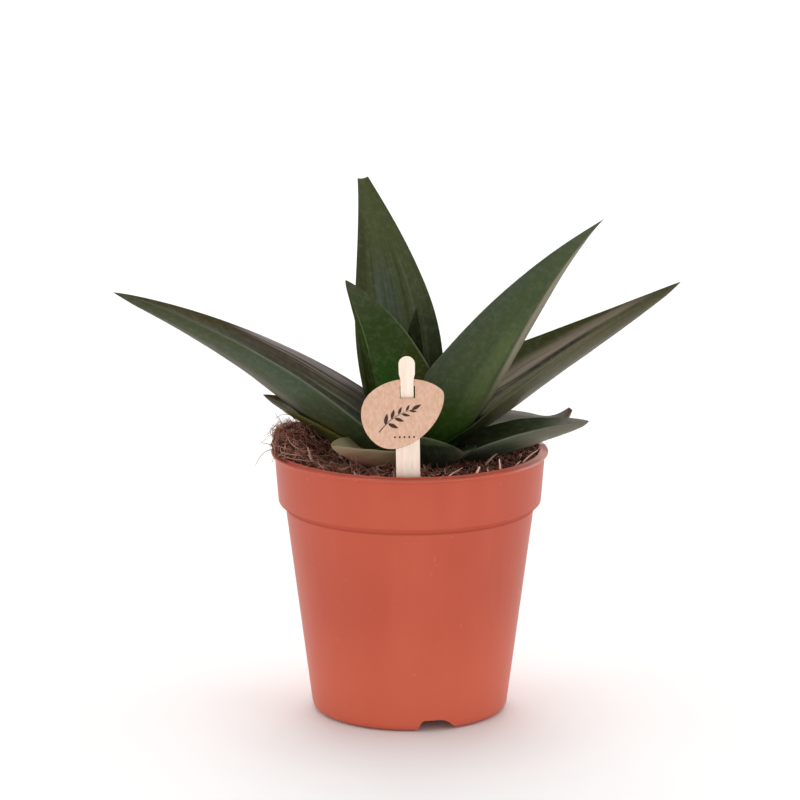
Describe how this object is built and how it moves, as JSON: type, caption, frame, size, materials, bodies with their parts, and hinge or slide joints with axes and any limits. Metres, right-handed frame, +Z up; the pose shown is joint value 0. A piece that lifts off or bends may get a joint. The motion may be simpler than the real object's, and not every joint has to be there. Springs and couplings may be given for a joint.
{
  "type": "potted haworthia",
  "caption": "Small rosette succulent with long keeled, channelled leaves, in a terracotta-coloured plastic nursery pot of coir soil, with a plain wooden disc label on a flat stake.",
  "frame": {"origin": "on the ground plane under the middle of the whole outline, leaves included; the pot's axis stands 2.8 mm to +X and 0.9 mm to -Y of it", "axes": "+Z up, +X to the right and -Y towards the viewer with the plant label at the front; the leaves reach furthest along X"},
  "size_m": [0.1851, 0.0994, 0.1709],
  "materials": {
    "plastic": "satin terracotta-coloured polypropylene",
    "soil": "rough, fibrous coir and peat",
    "crown": "pale green plant stem",
    "leaf": "waxy, dark green leaf with a soft sheen",
    "young_leaf": "waxy, fresh green leaf with a soft sheen",
    "stake_wood": "plain planed birch",
    "disc_wood": "plain birch plywood with a laser-cut edge"
  },
  "bodies": {
    "root": {"pot": "plastic", "soil": "soil", "root_crown": "crown", "leaf_heart": "young_leaf", "leaf_front_upright": "young_leaf", "leaf_back_tall": "leaf", "leaf_right_tall": "leaf", "leaf_left_long": "leaf", "leaf_right_long": "leaf", "leaf_right_dry": "leaf", "leaf_front_right_low": "leaf", "leaf_front_left_low": "leaf", "leaf_right_low": "leaf", "leaf_left_low": "leaf", "leaf_back_left_low": "leaf", "leaf_back_right_low": "leaf", "label_stake": "stake_wood", "label_disc": "disc_wood"}
  },
  "joints": []
}
